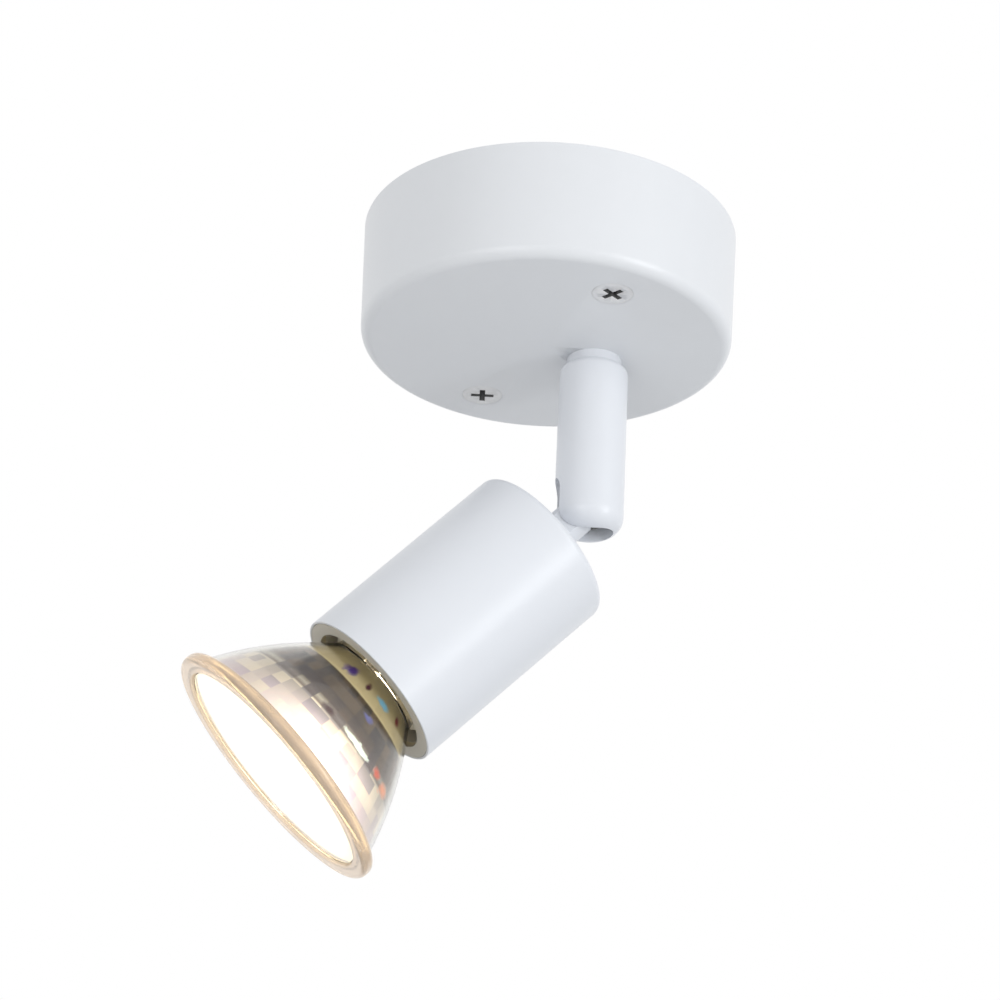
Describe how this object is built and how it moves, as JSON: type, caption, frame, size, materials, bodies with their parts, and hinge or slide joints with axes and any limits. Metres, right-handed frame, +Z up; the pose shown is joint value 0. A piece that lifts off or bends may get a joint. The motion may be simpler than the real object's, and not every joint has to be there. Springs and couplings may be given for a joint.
{
  "type": "ceiling spotlight",
  "caption": "Surface mounted ceiling spotlight: round canopy, turning stem, tilting cylinder head and plug-in reflector lamp.",
  "frame": {"origin": "middle of the canopy's open rim, on the ceiling plane", "axes": "+Z up into the ceiling, +X from the canopy's middle towards the stem's axis, Y through the two canopy screws"},
  "size_m": [0.0921, 0.0837, 0.1258],
  "materials": {
    "white_paint": "satin",
    "zinc_steel": "zinc plated",
    "bare_zinc": "cast",
    "brass": "plain",
    "white_nylon": "matte",
    "block_plastic": "matte",
    "live_insulation": "matte",
    "neutral_insulation": "matte",
    "earth_insulation": "matte",
    "grey_paint": "satin",
    "holder_ceramic": "matte",
    "lamp_glass": "faceted, dichroic coated",
    "clear_glass": "clear",
    "cement_white": "rough",
    "tungsten": "lit"
  },
  "bodies": {
    "ceiling_base": {"canopy": "white_paint", "canopy_screws": "zinc_steel", "mounting_bracket": "zinc_steel", "terminal_block": "block_plastic", "terminal_tubes": "brass", "clamp_screws": "zinc_steel", "block_screws": "zinc_steel", "earth_ring": "zinc_steel", "earth_washer": "zinc_steel", "earth_screw": "brass", "earth_lead": "earth_insulation", "live_lead_canopy": "live_insulation", "neutral_lead_canopy": "neutral_insulation", "stem_collar": "white_nylon", "friction_washer": "white_nylon", "stop_stud": "zinc_steel"},
    "turning_stem": {"stem": "white_paint", "spindle": "brass", "stop_washer": "zinc_steel", "spring_washer": "zinc_steel", "spindle_nuts": "zinc_steel", "pressure_cup": "white_nylon", "disc_springs": "zinc_steel", "spacer_sleeve": "zinc_steel", "live_lead_stem": "live_insulation", "neutral_lead_stem": "neutral_insulation"},
    "head": {"knuckle": "bare_zinc", "neck_collar": "white_paint", "head_shell": "white_paint", "holder_bracket": "zinc_steel", "neck_washer": "zinc_steel", "neck_nut": "zinc_steel", "retaining_ring": "grey_paint", "live_lead_head": "live_insulation", "neutral_lead_head": "neutral_insulation", "lamp_holder": "holder_ceramic", "holder_screws": "zinc_steel", "holder_contacts": "brass"},
    "lamp": {"lamp_pins": "zinc_steel", "lamp_base": "holder_ceramic", "lamp_reflector": "lamp_glass", "front_glass": "clear_glass", "capsule": "clear_glass", "filament": "tungsten", "cement": "cement_white", "capsule_wires": "zinc_steel"}
  },
  "joints": [
    {"name": "stem_swivel", "type": "hinge", "parent": "ceiling_base", "child": "turning_stem", "pos_m": [0.01057, 0, -0.0248], "axis": [0, 0, 1], "range_deg": [-163, 163], "deforming": ["live_lead_canopy", "neutral_lead_canopy"]},
    {"name": "head_tilt", "type": "hinge", "parent": "turning_stem", "child": "head", "pos_m": [0.01057, 0, -0.0532], "axis": [0.4384, 0.8988, 0], "range_deg": [-44.1, 45.9], "deforming": ["live_lead_stem", "neutral_lead_stem"]},
    {"name": "lamp_turn", "type": "hinge", "parent": "head", "child": "lamp", "pos_m": [-0.00999, 0.01003, -0.0768], "axis": [-0.6203, 0.3444, -0.7047], "range_deg": [0, 22]}
  ]
}
